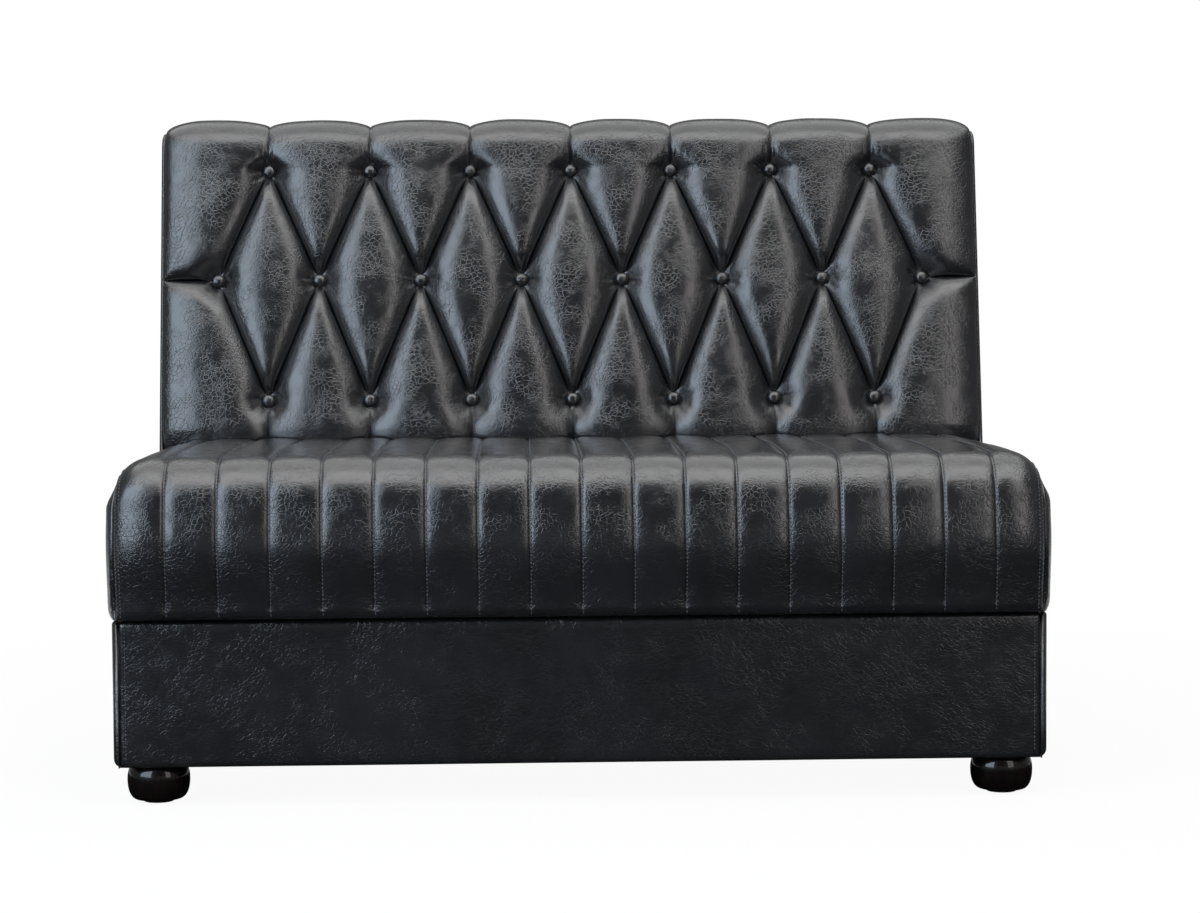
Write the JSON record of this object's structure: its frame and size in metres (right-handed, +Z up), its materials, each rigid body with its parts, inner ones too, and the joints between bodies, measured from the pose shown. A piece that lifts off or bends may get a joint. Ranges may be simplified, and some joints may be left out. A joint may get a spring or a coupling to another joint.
{
  "type": "restaurant booth seating",
  "caption": "Upholstered restaurant booth bench for two: diamond-tufted back, channelled seat, padded plinth and turned bun feet.",
  "frame": {"origin": "on the floor, under the middle of the bench's bounding box", "axes": "+Z up, +X to the right of someone facing the bench, -Y the side that the seat faces"},
  "size_m": [1.212, 0.65, 0.921],
  "materials": {
    "faux_leather": "semi-gloss black faux leather with a fine creased grain",
    "lacquered_wood": "turned hardwood, near-black gloss lacquer",
    "timber": "planed pine, unfinished",
    "plywood": "sanded plywood, unfinished",
    "foam": "open-cell polyurethane foam",
    "dust_cloth": "thin non-woven cloth",
    "twine": "waxed nylon twine",
    "nylon": "moulded nylon",
    "zinc_steel": "zinc-plated steel"
  },
  "bodies": {
    "root": {"back_bottom_rail": "timber", "back_button_twines": "twine", "back_buttons": "faux_leather", "back_cover": "faux_leather", "back_fixing_screws": "zinc_steel", "back_foam": "foam", "back_left_boxing": "faux_leather", "back_left_side_board": "timber", "back_rear_panel": "faux_leather", "back_right_boxing": "faux_leather", "back_right_side_board": "timber", "back_studs": "timber", "back_top_rail": "timber", "back_tuft_board": "plywood", "back_twine_staples": "zinc_steel", "base_battens": "timber", "base_corner_blocks": "timber", "base_cross_rails": "timber", "base_dust_cover": "dust_cloth", "base_front_board": "timber", "base_front_cover": "faux_leather", "base_left_board": "timber", "base_left_cover": "faux_leather", "base_rear_board": "timber", "base_rear_cover": "faux_leather", "base_right_board": "timber", "base_right_cover": "faux_leather", "foot_bolts": "zinc_steel", "foot_front_left": "lacquered_wood", "foot_front_right": "lacquered_wood", "foot_glides": "nylon", "foot_rear_left": "lacquered_wood", "foot_rear_right": "lacquered_wood", "foot_tee_nuts": "zinc_steel", "seat_centre_rails": "timber", "seat_cover": "faux_leather", "seat_deck": "plywood", "seat_fixing_screws": "zinc_steel", "seat_foam": "foam", "seat_front_rail": "timber", "seat_left_boxing": "faux_leather", "seat_left_rail": "timber", "seat_rear_rail": "timber", "seat_right_boxing": "faux_leather", "seat_right_rail": "timber"}
  },
  "joints": []
}
